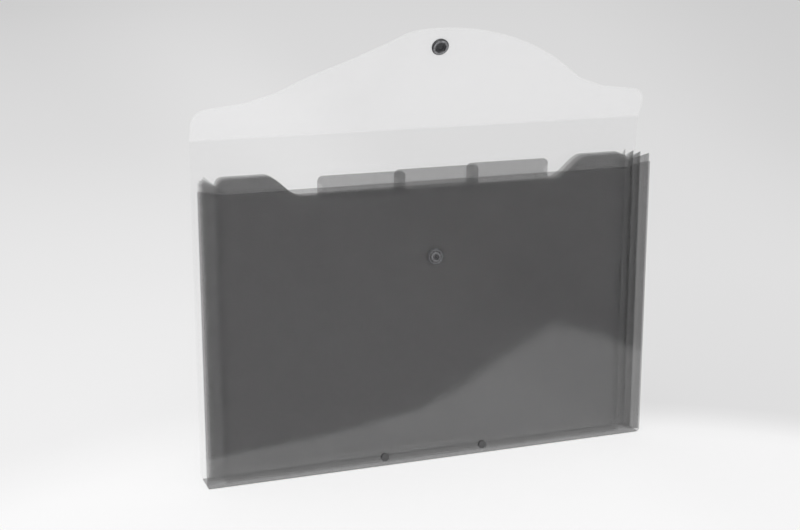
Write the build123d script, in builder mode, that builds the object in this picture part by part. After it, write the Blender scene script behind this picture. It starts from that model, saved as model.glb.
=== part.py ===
"""Expanding document organizer: a smoke-grey accordion wallet with a clear back and flap.

Millimetres, +Z up, X across the wallet, -Y towards its front. The origin is the
middle of the base's underside. The sheets stand on the base like leaves of a fan,
so each one has a place at the base and a place at the height of the flap's hinge.
"""
from build123d import *
from math import atan2, cos, hypot, radians, sin
import os

# Cover sheets
cover_w = 356.0
cover_t = 0.7
front_h = 222.0
front_scoop = 3.0
scoop_start = 2.0
scoop_run = 22.0
cover_lift = 0.6
cover_corner_r = 3.0
hinge_z = 229.2

# Creases, where a sheet is thinned from both faces so that it folds
crease_gap = 0.4
crease_web = 0.12
crease_bevel = 0.9

# Pockets, as depths from sheet to sheet at the base and at the hinge
first_pocket_base = 6.0
first_pocket_top = 6.5
pocket_base = 5.25
pocket_top = 5.75
pocket_count = 4

# Base strip
base_t = 0.8
base_clear = 0.5
base_side_inset = 1.5

# Hem riveted inside the front sheet
hem_t = 0.8
hem_h = 12.0
hem_lift = 2.2
hem_side_inset = 14.0
sheet_gap = 0.05

# Dividers
divider_w = 324.0
divider_t = 0.5
divider_lift = 0.35
shoulder_z = 228.2
divider_low_z = 212.0
shoulder_corner_r = 6.0
shoulder_w = 35.5
shoulder_run = 26.5

# Tabs and their label sleeves
tab_w = 67.0
tab_h = 14.2
tab_offset = 5.3
tab_side_clear = 0.7
tab_corner_r = 4.0
sleeve_t = 0.3
sleeve_gap = 0.1
sleeve_drop = 3.5
notch_r = 3.7
notch_rise = 9.0

# Side gussets, folded outwards between the sheets
gusset_t = 0.4
gusset_lift = 2.6
tooth_z = 228.2
tooth_drop = 5.4
fold_blunt = 0.8
weld_w = 4.0
fold_inset = 0.6
fold_inset_step = 3.0

# Flap
spine_lean = 6.0
flap_bend = 18.0
shut_spine_lean = 89.0
spine_overhang = 1.5
flap_side_h = 24.5
flap_corner_r = 12.0
flap_shoulder_rise = 4.5
flap_shoulder_r = 14.0
flap_shoulder_w = 52.0
flap_nose_rise = 15.0

# Press stud
snap_z = 161.0
snap_r = 6.45
stud_h = 3.1
stud_bore_r = 1.6
stud_bore_depth = 0.9
snap_play = 0.3
cap_r = 6.1
cap_t = 0.8
barrel_r = 1.5
barrel_play = 0.1
socket_t = 1.6
socket_hole_r = 2.7

# Rivets
rivet_pitch = 80.0
rivet_z = 7.2
rivet_head_r = 3.15
rivet_head_t = 1.1
rivet_shank_r = 1.4
washer_r = 2.9
washer_t = 0.5

overrun = 5.0

# Shapes of the turned pieces, as shares of their radius and height
stud_shares = (
    (1, 0), (1, 0.15), (0.95, 0.28), (0.82, 0.28), (0.76, 0.2), (0.7, 0.2), (0.64, 0.4),
    (0.46, 0.43), (0.34, 0.43), (0.31, 0.7), (0.35, 0.88), (0.28, 1), (0, 1),
)
socket_shares = ((1, 0), (1, 0.35), (0.94, 0.75), (0.8, 1), (0.68, 1), (0.6, 0.7), (0.48, 0.55))
cap_shares = ((1, 0), (1, 0.45), (0.9, 0.8), (0.7, 1), (0, 1))
head_shares = ((1, 0), (1, 0.35), (0.85, 0.75), (0.5, 1), (0, 1))

# Places worked out from the sizes above
total_base = first_pocket_base + (pocket_count - 1) * pocket_base
base_y = [-total_base / 2, -total_base / 2 + first_pocket_base]
top_y = [-total_base / 2, -total_base / 2 + first_pocket_top]
for _ in range(pocket_count - 1):
    base_y.append(base_y[-1] + pocket_base)
    top_y.append(top_y[-1] + pocket_top)
sheet_half_t = [cover_t / 2] + [divider_t / 2] * (pocket_count - 1) + [cover_t / 2]
middle_divider = pocket_count // 2
pieces = {}


def sheet_y(index, z):
    """Middle of a standing sheet's thickness at height z."""
    return base_y[index] + (top_y[index] - base_y[index]) * z / hinge_z


def sheet_plane(index):
    """Plane of a standing sheet, seen from the front."""
    lean = atan2(top_y[index] - base_y[index], hinge_z)
    return Plane(origin=(0, base_y[index], 0), x_dir=(1, 0, 0), z_dir=(0, -cos(lean), sin(lean)))


def flap_plane(y, z, lean):
    """Plane of a flap sheet that starts at (y, z) and leans forward by lean degrees."""
    turn = radians(lean)
    return Plane(origin=(0, y, z), x_dir=(1, 0, 0), z_dir=(0, -cos(turn), -sin(turn)))


def turned_plane(point, outward):
    """Plane for a turned profile: its x is the radius and its y runs outward."""
    return Plane(origin=point, x_dir=(1, 0, 0), z_dir=Vector(1, 0, 0).cross(outward))


def bevel_outline(plane, height, way):
    """Side view of what thins a sheet at a crease; way is 1 at its upper end, -1 at its lower."""
    side = Plane(
        origin=plane.from_local_coords((-cover_w, height, 0)), x_dir=plane.y_dir, z_dir=plane.x_dir
    )
    with BuildSketch(side) as outline:
        for face in (1, -1):
            with BuildLine():
                Polyline(
                    (0, face * crease_web / 2),
                    (-way * crease_bevel, face * cover_t / 2),
                    (-way * crease_bevel, face * cover_t),
                    (way * crease_bevel, face * cover_t),
                    (way * crease_bevel, face * crease_web / 2),
                    close=True,
                )
            make_face()
    return outline.sketch


def scaled(shares, radius, height):
    """Points of a turned profile from its shares."""
    return [(radius * r, height * h) for r, h in shares]


def ribbon(points, thickness):
    """Outline of a thin strip that follows points with square-cut ends."""
    near = []
    far = []
    for i, (x, y) in enumerate(points):
        before = Vector(*points[i]) - Vector(*points[i - 1]) if i > 0 else None
        after = Vector(*points[i + 1]) - Vector(*points[i]) if i < len(points) - 1 else None
        first = (before or after).normalized()
        last = (after or before).normalized()
        middle = (first + last).normalized()
        reach = thickness / 2 / middle.dot(first)
        near.append((x - middle.Y * reach, y + middle.X * reach))
        far.append((x + middle.Y * reach, y - middle.X * reach))
    return near + far[::-1]


def gusset_line(index, z):
    """Plan of the right-hand gusset strip in one pocket at height z, along its middle."""
    inner_x = divider_w / 2
    outer_x = cover_w / 2 - fold_inset - fold_inset_step * index
    off = sheet_gap + gusset_t / 2
    near = sheet_y(index, z) + sheet_half_t[index] + off
    far = sheet_y(index + 1, z) - sheet_half_t[index + 1] - off
    middle = (near + far) / 2
    if index == 0:
        return [
            (outer_x - weld_w, near),
            (outer_x, near),
            (outer_x, near + fold_blunt),
            (inner_x, far),
            (inner_x - weld_w, far),
        ]
    if index == pocket_count - 1:
        return [
            (inner_x - weld_w, near),
            (inner_x, near),
            (outer_x, far - fold_blunt),
            (outer_x, far),
            (outer_x - weld_w, far),
        ]
    return [
        (inner_x - weld_w, near),
        (inner_x, near),
        (outer_x, middle - fold_blunt / 2),
        (outer_x, middle + fold_blunt / 2),
        (inner_x, far),
        (inner_x - weld_w, far),
    ]


front_plane = sheet_plane(0)
back_plane = sheet_plane(pocket_count)
front_normal = front_plane.z_dir
hinge_y = sheet_y(pocket_count, hinge_z)
hinge_reach = hypot(hinge_z, top_y[pocket_count] - base_y[pocket_count])

# The spine reaches just past the front sheet when the flap is shut over the top
spine_len = hinge_y - sheet_y(0, hinge_z) + spine_overhang
spine_plane = flap_plane(hinge_y, hinge_z, spine_lean)
crease = spine_plane.from_local_coords((0, spine_len, 0))
flap_front_plane = flap_plane(crease.Y, crease.Z, spine_lean + flap_bend)

# Shut, the flap's socket meets the stud on the front sheet
shut_y = hinge_y - spine_len * sin(radians(shut_spine_lean))
shut_z = hinge_z + spine_len * cos(radians(shut_spine_lean))
shut_sheet_y = sheet_y(0, snap_z) - cover_t / 2 - stud_h - snap_play - cover_t / 2
socket_reach = hypot(shut_y - shut_sheet_y, shut_z - snap_z)
flap_top = socket_reach + flap_nose_rise

# Front sheet, with the shallow scoop that is cut into its top edge
with BuildPart() as front_panel:
    with BuildSketch(front_plane) as outline:
        with BuildLine():
            edge = cover_w / 2
            low = front_h - front_scoop
            Polyline((-edge, front_h), (-edge, cover_lift), (edge, cover_lift), (edge, front_h))
            for side in (1, -1):
                start = (side * (edge - scoop_start), front_h)
                end = (side * (edge - scoop_run), low)
                Line((side * edge, front_h), start)
                Spline(start, end, tangents=((-side, 0), (-side, 0)))
            Line((edge - scoop_run, low), (scoop_run - edge, low))
        make_face()
        fillet(outline.vertices().group_by(Axis.Y)[0], cover_corner_r)
        with Locations((0, snap_z)):
            Circle(barrel_r + barrel_play, mode=Mode.SUBTRACT)
        with Locations((-rivet_pitch / 2, rivet_z), (rivet_pitch / 2, rivet_z)):
            Circle(rivet_shank_r + barrel_play, mode=Mode.SUBTRACT)
    extrude(amount=cover_t / 2, both=True)
pieces["front_panel"] = front_panel

# Hem inside the front sheet's foot
hem_plane = front_plane.offset(-cover_t / 2 - sheet_gap - hem_t / 2)
with BuildPart() as front_hem:
    with BuildSketch(hem_plane):
        with Locations((0, hem_lift + hem_h / 2)):
            Rectangle(cover_w - 2 * hem_side_inset, hem_h)
        with Locations((-rivet_pitch / 2, rivet_z), (rivet_pitch / 2, rivet_z)):
            Circle(rivet_shank_r + barrel_play, mode=Mode.SUBTRACT)
    extrude(amount=hem_t / 2, both=True)
pieces["front_hem"] = front_hem

# Base strip that the wallet stands on
base_front_y = base_y[0] + cover_t / 2 + base_clear
base_back_y = base_y[pocket_count] - cover_t / 2 - base_clear
with BuildPart() as base_panel:
    with BuildSketch(Plane.XY):
        with Locations((0, (base_front_y + base_back_y) / 2)):
            Rectangle(cover_w - 2 * base_side_inset, base_back_y - base_front_y)
    extrude(amount=base_t)
pieces["base_panel"] = base_panel

# Clear back sheet, up to the flap's hinge
with BuildPart() as back_panel:
    with BuildSketch(back_plane) as outline:
        end = hinge_reach - crease_gap / 2
        with Locations((0, (cover_lift + end) / 2)):
            Rectangle(cover_w, end - cover_lift)
        fillet(outline.vertices().group_by(Axis.Y)[0], cover_corner_r)
    extrude(amount=cover_t / 2, both=True)
    extrude(bevel_outline(back_plane, end, 1), amount=2 * cover_w, mode=Mode.SUBTRACT)
pieces["back_panel"] = back_panel

# Spine of the flap, between its two creases
with BuildPart() as flap_spine:
    with BuildSketch(spine_plane):
        with Locations((0, spine_len / 2)):
            Rectangle(cover_w, spine_len - crease_gap)
    extrude(amount=cover_t / 2, both=True)
    extrude(bevel_outline(spine_plane, crease_gap / 2, -1), amount=2 * cover_w, mode=Mode.SUBTRACT)
    end = spine_len - crease_gap / 2
    extrude(bevel_outline(spine_plane, end, 1), amount=2 * cover_w, mode=Mode.SUBTRACT)
pieces["flap_spine"] = flap_spine

# Front leaf of the flap, with its shoulders and rounded nose
shoulder_end = (cover_w / 2 - flap_shoulder_w, flap_side_h + flap_shoulder_rise)
with BuildPart() as flap_leaf:
    with BuildSketch(flap_front_plane) as outline:
        with BuildLine():
            right = [(cover_w / 2, crease_gap / 2), (cover_w / 2, flap_side_h), shoulder_end]
            left = [(-x, y) for x, y in right]
            Polyline(*right[::-1], *left)
            ThreePointArc(left[-1], (0, flap_top), right[-1])
        make_face()
        levels = outline.vertices().group_by(Axis.Y)
        fillet(levels[2], flap_shoulder_r)
        fillet(levels[1], flap_corner_r)
        with Locations((0, socket_reach)):
            Circle(barrel_r + barrel_play, mode=Mode.SUBTRACT)
    extrude(amount=cover_t / 2, both=True)
    extrude(bevel_outline(flap_front_plane, crease_gap / 2, -1), amount=2 * cover_w, mode=Mode.SUBTRACT)
pieces["flap_leaf"] = flap_leaf

# Dividers, each with a raised shoulder at both sides and one tab, and the tab's label sleeve
shoulder_out_x = divider_w / 2 - shoulder_w
shoulder_in_x = shoulder_out_x - shoulder_run
tab_room = shoulder_in_x - tab_side_clear - tab_offset - tab_w / 2
tab_pitch = tab_room / (pocket_count - 1 - middle_divider)
for index in range(1, pocket_count):
    plane = sheet_plane(index)
    tab_x = tab_offset + (index - middle_divider) * tab_pitch
    tab_top = divider_low_z + tab_h
    foot = base_t + (sheet_gap if index == middle_divider else divider_lift)
    with BuildPart() as divider:
        with BuildSketch(plane):
            with BuildLine():
                edge = divider_w / 2
                corner = shoulder_corner_r
                Polyline(
                    (-edge, shoulder_z - corner), (-edge, foot), (edge, foot), (edge, shoulder_z - corner)
                )
                for side in (1, -1):
                    RadiusArc(
                        (side * edge, shoulder_z - corner),
                        (side * (edge - corner), shoulder_z),
                        -side * corner,
                    )
                    start = (side * shoulder_out_x, shoulder_z)
                    end = (side * shoulder_in_x, divider_low_z)
                    Line((side * (edge - corner), shoulder_z), start)
                    Spline(start, end, tangents=((-side, 0), (-side, 0)))
                Line((shoulder_in_x, divider_low_z), (-shoulder_in_x, divider_low_z))
            make_face()
            with Locations((tab_x, tab_top - tab_h / 2 - tab_corner_r)):
                RectangleRounded(tab_w, tab_h + 2 * tab_corner_r, tab_corner_r)
        extrude(amount=divider_t / 2, both=True)
    pieces[f"divider_{index}"] = divider

    sleeve_h = tab_h + sleeve_drop
    with BuildPart() as sleeve:
        with BuildSketch(plane.offset(divider_t / 2 + sleeve_gap + sleeve_t / 2)):
            with Locations((tab_x, tab_top - sleeve_h / 2)):
                RectangleRounded(tab_w, sleeve_h, tab_corner_r)
            notch_z = tab_top - sleeve_h + notch_rise
            with Locations((tab_x - tab_w / 2, notch_z), (tab_x + tab_w / 2, notch_z)):
                Circle(notch_r, mode=Mode.SUBTRACT)
        extrude(amount=sleeve_t / 2, both=True)
    pieces[f"tab_sleeve_{index}"] = sleeve

# Side gussets, one strip in each pocket on each side, lower at the inner fold than at the outer
for index in range(pocket_count):
    with BuildPart() as strip:
        for z in (gusset_lift, tooth_z + overrun):
            with BuildSketch(Plane.XY.offset(z)):
                with BuildLine():
                    Polyline(*ribbon(gusset_line(index, z), gusset_t), close=True)
                make_face()
        loft(ruled=True)
        with BuildSketch(Plane.XZ):
            with BuildLine():
                outer_x = cover_w / 2 - fold_inset - fold_inset_step * index
                inner_x = divider_w / 2
                low = tooth_z - tooth_drop
                high = tooth_z + 2 * overrun
                Polyline(
                    (inner_x - 2 * weld_w, low),
                    (inner_x, low),
                    (outer_x, tooth_z),
                    (cover_w, tooth_z),
                    (cover_w, high),
                    (inner_x - 2 * weld_w, high),
                    close=True,
                )
            make_face()
        extrude(amount=cover_w, both=True, mode=Mode.SUBTRACT)
    pieces[f"gusset_right_{index + 1}"] = strip
    with BuildPart() as mirrored_strip:
        add(mirror(strip.part, about=Plane.YZ))
    pieces[f"gusset_left_{index + 1}"] = mirrored_strip

# Press stud on the front sheet: the stud outside and its cap inside
stud_point = front_plane.from_local_coords((0, snap_z, cover_t / 2))
with BuildPart() as snap_stud:
    with BuildSketch(turned_plane(stud_point, front_normal)):
        with BuildLine():
            bore = [(0, stud_bore_depth), (stud_bore_r, stud_bore_depth), (stud_bore_r, 0)]
            Polyline(*bore, *scaled(stud_shares, snap_r, stud_h), close=True)
        make_face()
    revolve(axis=Axis(stud_point, front_normal))
pieces["snap_stud"] = snap_stud

cap_point = front_plane.from_local_coords((0, snap_z, -cover_t / 2))
barrel_len = cover_t + stud_bore_depth - barrel_play
with BuildPart() as snap_stud_cap:
    with BuildSketch(turned_plane(cap_point, -front_normal)):
        with BuildLine():
            barrel = [(0, -barrel_len), (barrel_r, -barrel_len), (barrel_r, 0)]
            Polyline(*barrel, *scaled(cap_shares, cap_r, cap_t), close=True)
        make_face()
    revolve(axis=Axis(cap_point, -front_normal))
pieces["snap_stud_cap"] = snap_stud_cap

# Its mate on the flap: the socket on the inner face and its cap outside
flap_normal = flap_front_plane.z_dir
socket_point = flap_front_plane.from_local_coords((0, socket_reach, cover_t / 2))
with BuildPart() as snap_socket:
    with BuildSketch(turned_plane(socket_point, flap_normal)):
        with BuildLine():
            floor_h = socket_shares[-1][1] * socket_t
            hole = [(socket_hole_r, floor_h), (socket_hole_r, 0)]
            Polyline(*hole, *scaled(socket_shares, snap_r, socket_t), close=True)
        make_face()
    revolve(axis=Axis(socket_point, flap_normal))
pieces["snap_socket"] = snap_socket

outer_point = flap_front_plane.from_local_coords((0, socket_reach, -cover_t / 2))
with BuildPart() as snap_socket_cap:
    with BuildSketch(turned_plane(outer_point, -flap_normal)):
        with BuildLine():
            barrel = [(0, -cover_t), (barrel_r, -cover_t), (barrel_r, 0)]
            Polyline(*barrel, *scaled(cap_shares, cap_r, cap_t), close=True)
        make_face()
    revolve(axis=Axis(outer_point, -flap_normal))
pieces["snap_socket_cap"] = snap_socket_cap

# Two rivets through the front sheet and its hem, and the washers behind them
shank_len = cover_t + sheet_gap + hem_t + washer_t
with BuildPart() as rivets:
    for x in (-rivet_pitch / 2, rivet_pitch / 2):
        point = front_plane.from_local_coords((x, rivet_z, cover_t / 2))
        with BuildSketch(turned_plane(point, front_normal)):
            with BuildLine():
                shank = [(0, -shank_len), (rivet_shank_r, -shank_len), (rivet_shank_r, 0)]
                Polyline(*shank, *scaled(head_shares, rivet_head_r, rivet_head_t), close=True)
            make_face()
        revolve(axis=Axis(point, front_normal))
pieces["rivets"] = rivets

washer_plane = hem_plane.offset(-hem_t / 2)
with BuildPart() as rivet_washers:
    with BuildSketch(washer_plane):
        with Locations((-rivet_pitch / 2, rivet_z), (rivet_pitch / 2, rivet_z)):
            Circle(washer_r)
            Circle(rivet_shank_r + sheet_gap, mode=Mode.SUBTRACT)
    extrude(amount=-washer_t)
pieces["rivet_washers"] = rivet_washers

os.makedirs("parts", exist_ok=True)
for name, piece in pieces.items():
    piece.part.label = name
    export_step(piece.part, f"parts/{name}.step")
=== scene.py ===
"""Expanding document organizer of translucent sheet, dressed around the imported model."""
import math
from functools import partial

import bmesh
import bpy
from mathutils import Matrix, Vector
from mathutils.geometry import delaunay_2d_cdt


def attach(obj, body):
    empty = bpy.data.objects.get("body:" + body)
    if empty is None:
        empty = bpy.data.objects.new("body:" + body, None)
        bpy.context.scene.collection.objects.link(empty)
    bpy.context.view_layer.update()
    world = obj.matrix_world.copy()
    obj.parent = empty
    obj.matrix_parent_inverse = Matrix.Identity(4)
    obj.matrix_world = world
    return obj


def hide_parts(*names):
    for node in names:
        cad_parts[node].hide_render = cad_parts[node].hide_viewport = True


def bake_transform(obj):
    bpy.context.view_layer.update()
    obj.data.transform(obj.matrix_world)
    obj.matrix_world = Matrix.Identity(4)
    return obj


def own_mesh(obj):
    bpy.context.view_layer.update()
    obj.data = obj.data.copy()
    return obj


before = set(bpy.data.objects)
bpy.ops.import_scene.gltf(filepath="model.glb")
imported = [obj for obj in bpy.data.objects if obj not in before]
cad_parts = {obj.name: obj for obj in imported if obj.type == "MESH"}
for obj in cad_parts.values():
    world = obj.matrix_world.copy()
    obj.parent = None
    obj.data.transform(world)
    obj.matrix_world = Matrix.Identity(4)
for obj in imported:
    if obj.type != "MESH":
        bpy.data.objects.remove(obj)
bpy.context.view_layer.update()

# Sizes are in metres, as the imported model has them

# Cover sheets, their creases, and where the five standing sheets are, front to back
COVER_W = 0.356
COVER_T = 0.0007
FRONT_H = 0.222
FRONT_SCOOP = 0.003
SCOOP_START = 0.002
SCOOP_RUN = 0.022
COVER_LIFT = 0.0006
COVER_CORNER = 0.003
HINGE_Z = 0.2292
CREASE_GAP = 0.0004
CREASE_WEB = 0.00012
CREASE_BEVEL = 0.0009
BASE_Y = (-0.010875, -0.004875, 0.000375, 0.005625, 0.010875)
TOP_Y = (-0.010875, -0.004375, 0.001375, 0.007125, 0.012875)
SHEET_T = (0.0007, 0.0005, 0.0005, 0.0005, 0.0007)
POCKETS = 4

# Dividers with their tabs and sleeves
DIVIDER_W = 0.324
DIVIDER_FOOT = (0.00115, 0.00085, 0.00115)
DIVIDER_WAVE = 0.0006
WAVE_RISE = 0.05
WAVE_SIDE = 0.16
WAVE_FADE = 0.03
SHOULDER_Z = 0.2282
LOW_Z = 0.212
CORNER_R = 0.006
SHOULDER_OUT = 0.1265
SHOULDER_IN = 0.100
TAB_W = 0.067
TAB_TOP = 0.2262
TAB_R = 0.004
TAB_X = (-0.0552, 0.0053, 0.0658)
SLEEVE_T = 0.0003
SLEEVE_GAP = 0.0001
SLEEVE_H = 0.0177
NOTCH_R = 0.0037
NOTCH_RISE = 0.009

# Gussets
GUSSET_T = 0.0004
GUSSET_LOW = 0.0026
TOOTH_Z = 0.2282
TOOTH_DROP = 0.0054
FOLD_BLUNT = 0.0008
WELD_W = 0.004
FOLD_INSET = 0.0006
FOLD_STEP = 0.003
WELD_GAP = 0.00005

# Flap
SPINE_LEAN = math.radians(6)
LEAF_LEAN = math.radians(24)
SPINE_LEN = 0.02525
SIDE_H = 0.0245
LEAF_CORNER = 0.012
SHOULDER_RISE = 0.0045
SHOULDER_X = 0.126
SHOULDER_R = 0.014
SOCKET_REACH = 0.06869
LEAF_TOP = 0.08369

# Loose bow of the flap's left half
BOW = 0.013
BOW_X = -0.07
BOW_WIDTH = 0.042
BOW_REACH = 0.06
BOW_START = 0.012
BOW_RUN = 0.03

# Press stud and rivets
SNAP_Z = 0.161
SNAP_R = 0.00645
STUD_H = 0.0031
STUD_BORE_R = 0.0016
STUD_BORE = 0.0009
CAP_R = 0.0061
CAP_T = 0.0008
BARREL_R = 0.0015
BARREL_PLAY = 0.0001
SOCKET_T = 0.0016
SOCKET_HOLE_R = 0.0027
INSERT_T = 0.00012
RIVET_PITCH = 0.08
RIVET_Z = 0.0072
RIVET_HEAD_R = 0.00315
RIVET_HEAD_T = 0.0011
SHANK_R = 0.0014
WASHER_R = 0.0029
WASHER_T = 0.0005
HEM_T = 0.0008
SHEET_GAP = 0.00005

# Profiles of the turned pieces, as shares of their radius and height
STUD_SHARES = (
    (0.97, 0), (1, 0.04), (1, 0.12), (0.985, 0.2), (0.95, 0.27), (0.9, 0.29), (0.85, 0.28), (0.8, 0.24),
    (0.76, 0.2), (0.7, 0.2), (0.67, 0.25), (0.64, 0.36), (0.61, 0.405), (0.56, 0.425), (0.46, 0.43),
    (0.36, 0.43), (0.33, 0.46), (0.315, 0.56), (0.31, 0.7), (0.335, 0.8), (0.35, 0.88), (0.335, 0.95),
    (0.28, 1), (0.12, 1), (0.08, 0.97), (0, 0.96),
)
# Bands of the stud and socket that carry a painted ring highlight, as shares of the radius
STUD_RING_SHARES = ((0.36, 0.56), (0.74, 0.87))
SOCKET_SHARES = (
    (1, 0), (1, 0.35), (0.98, 0.58), (0.94, 0.78), (0.88, 0.93), (0.8, 1), (0.72, 1), (0.66, 0.94),
    (0.6, 0.7), (0.54, 0.58), (0.48, 0.55),
)
SOCKET_RING_SHARES = ((0.66, 0.84),)
CAP_SHARES = (
    (0.98, 0), (1, 0.12), (1, 0.45), (0.96, 0.68), (0.9, 0.84), (0.8, 0.95), (0.7, 1), (0.3, 1), (0, 1),
)
HEAD_SHARES = (
    (0.97, 0), (1, 0.12), (1, 0.35), (0.96, 0.55), (0.87, 0.75), (0.72, 0.9), (0.5, 0.98), (0.25, 1),
    (0, 1),
)

# Webs over the creases
WEB_REACH = 0.0007
WEB_HALF = 0.00011
WEB_STEPS = 8

# Fineness of the meshes, the distance under which two points are one, and where edges are sharp
CELL = 0.012
FINE_CELL = 0.008
TURNED_SIDES = 56
PLEAT_ROWS = 16
PANEL_STEPS = 4
SAME_PLACE = 1e-6
EDGE_ANGLE = math.radians(40)
BEVEL_ANGLE = math.radians(15)

# Painted light on the table, as (distance from its middle, tone): a pool of light round the wallet and
# painted shade further off and on the right; and the camera
PAINTED_LIGHT_LEFT = ((0.0, 0.95), (0.5, 0.945), (0.6, 0.864), (1.05, 0.83), (2.2, 0.81), (5.2, 0.705))
PAINTED_LIGHT_RIGHT = ((0.0, 0.93), (0.46, 0.915), (0.52, 0.735), (1.0, 0.755), (2.8, 0.735), (5.2, 0.71))
TABLE_REACH = 5.2
TABLE_CENTRE = (0.02, 0.42, 0)
# The share of the table's tone that glows for the camera and the sheets, a painted light, and how much
# painted shade darkens it further off
SEEN_SHARE = 0.75
EDGE_FADE = 0.09
TABLE_HALF = 12.0
YAW = math.radians(-20.12)
PITCH = math.radians(14.08)
DISTANCE = 1.12025
TARGET = Vector((-0.02395, 0, 0.15391))
SENSOR = 36.0
FOCAL_SHARE = 1500 / 800

BODY_OF_SHEET = ("front", "divider_1", "base", "divider_3", "back")


# Node groups that the materials share

def new_group(name, inputs, outputs):
    """An empty shader group; inputs and outputs are (name, socket type, default)."""
    group = bpy.data.node_groups.new(name, "ShaderNodeTree")
    for label, kind, default in inputs:
        socket = group.interface.new_socket(name=label, in_out="INPUT", socket_type=kind)
        socket.default_value = default
    for label, kind in outputs:
        group.interface.new_socket(name=label, in_out="OUTPUT", socket_type=kind)
    start = group.nodes.new("NodeGroupInput")
    end = group.nodes.new("NodeGroupOutput")
    return group, start, end


def maths(tree, how, first, second=None):
    """A maths node; each value is a number or a socket."""
    node = tree.nodes.new("ShaderNodeMath")
    node.operation = how
    for socket, value in zip(node.inputs, (first, second)):
        if value is None:
            continue
        if isinstance(value, (int, float)):
            socket.default_value = value
        else:
            tree.links.new(value, socket)
    return node.outputs[0]


def arithmetic(tree):
    """What adds, what subtracts and what multiplies in a tree."""
    return [partial(maths, tree, how) for how in ("ADD", "SUBTRACT", "MULTIPLY")]


def smooth_range(tree, value, low, high):
    """A smooth rise from 0 to 1 between two values, each a number or a socket."""
    node = tree.nodes.new("ShaderNodeMapRange")
    node.interpolation_type = "SMOOTHSTEP"
    tree.links.new(value, node.inputs["Value"])
    for label, limit in (("From Min", low), ("From Max", high)):
        if isinstance(limit, (int, float)):
            node.inputs[label].default_value = limit
        else:
            tree.links.new(limit, node.inputs[label])
    return node.outputs["Result"]


FINISH_OUTPUTS = (
    ("Colour", "NodeSocketColor"), ("Roughness", "NodeSocketFloat"), ("Normal", "NodeSocketVector"),
)


def make_sheet_finish():
    """Film haze, faint rubs and a slow waviness of plastic sheet, over its own colour."""
    group, start, end = new_group(
        "sheet_finish",
        [
            ("Colour", "NodeSocketColor", (0.5, 0.5, 0.5, 1)),
            ("Haze Colour", "NodeSocketColor", (0.8, 0.8, 0.8, 1)),
            ("Haze", "NodeSocketFloat", 0.1),
            ("Roughness", "NodeSocketFloat", 0.12),
            ("Rub Scale", "NodeSocketFloat", 90.0),
            ("Wave Height", "NodeSocketFloat", 0.4),
        ],
        FINISH_OUTPUTS,
    )
    nodes, links = group.nodes, group.links
    plus, minus, times = arithmetic(group)
    place = nodes.new("ShaderNodeTexCoord")
    cloud = nodes.new("ShaderNodeTexNoise")
    cloud.inputs["Scale"].default_value = 14
    cloud.inputs["Detail"].default_value = 3
    links.new(place.outputs["Object"], cloud.inputs["Vector"])
    haze = times(cloud.outputs["Fac"], start.outputs["Haze"])
    tint = nodes.new("ShaderNodeMix")
    tint.data_type = "RGBA"
    links.new(haze, tint.inputs["Factor"])
    links.new(start.outputs["Colour"], tint.inputs["A"])
    links.new(start.outputs["Haze Colour"], tint.inputs["B"])
    links.new(tint.outputs["Result"], end.inputs["Colour"])

    stretched = nodes.new("ShaderNodeMapping")
    stretched.inputs["Scale"].default_value = (1, 1, 0.12)
    links.new(place.outputs["Object"], stretched.inputs["Vector"])
    rubs = nodes.new("ShaderNodeTexNoise")
    rubs.inputs["Detail"].default_value = 4
    links.new(stretched.outputs["Vector"], rubs.inputs["Vector"])
    links.new(start.outputs["Rub Scale"], rubs.inputs["Scale"])
    rub = times(minus(rubs.outputs["Fac"], 0.5), 0.12)
    links.new(plus(start.outputs["Roughness"], rub), end.inputs["Roughness"])

    slow = nodes.new("ShaderNodeTexNoise")
    slow.inputs["Scale"].default_value = 7
    slow.inputs["Detail"].default_value = 1
    links.new(place.outputs["Object"], slow.inputs["Vector"])
    bump = nodes.new("ShaderNodeBump")
    bump.inputs["Distance"].default_value = 0.001
    links.new(start.outputs["Wave Height"], bump.inputs["Strength"])
    links.new(slow.outputs["Fac"], bump.inputs["Height"])
    links.new(bump.outputs["Normal"], end.inputs["Normal"])
    return group


def make_fold_density():
    """What a face of folded film hides, which rises with the distance from the middle plane."""
    group, start, end = new_group(
        "fold_density",
        [
            ("Alpha", "NodeSocketFloat", 0.14),
            ("Gain", "NodeSocketFloat", 0.1),
            ("Inner", "NodeSocketFloat", 0.163),
            ("Outer", "NodeSocketFloat", 0.171),
        ],
        [("Alpha", "NodeSocketFloat")],
    )
    plus, _, times = arithmetic(group)
    place = group.nodes.new("ShaderNodeTexCoord")
    apart = group.nodes.new("ShaderNodeSeparateXYZ")
    group.links.new(place.outputs["Object"], apart.inputs["Vector"])
    aside = maths(group, "ABSOLUTE", apart.outputs["X"])
    rise = smooth_range(group, aside, start.outputs["Inner"], start.outputs["Outer"])
    gain = times(rise, start.outputs["Gain"])
    group.links.new(plus(gain, start.outputs["Alpha"]), end.inputs["Alpha"])
    return group


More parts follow.
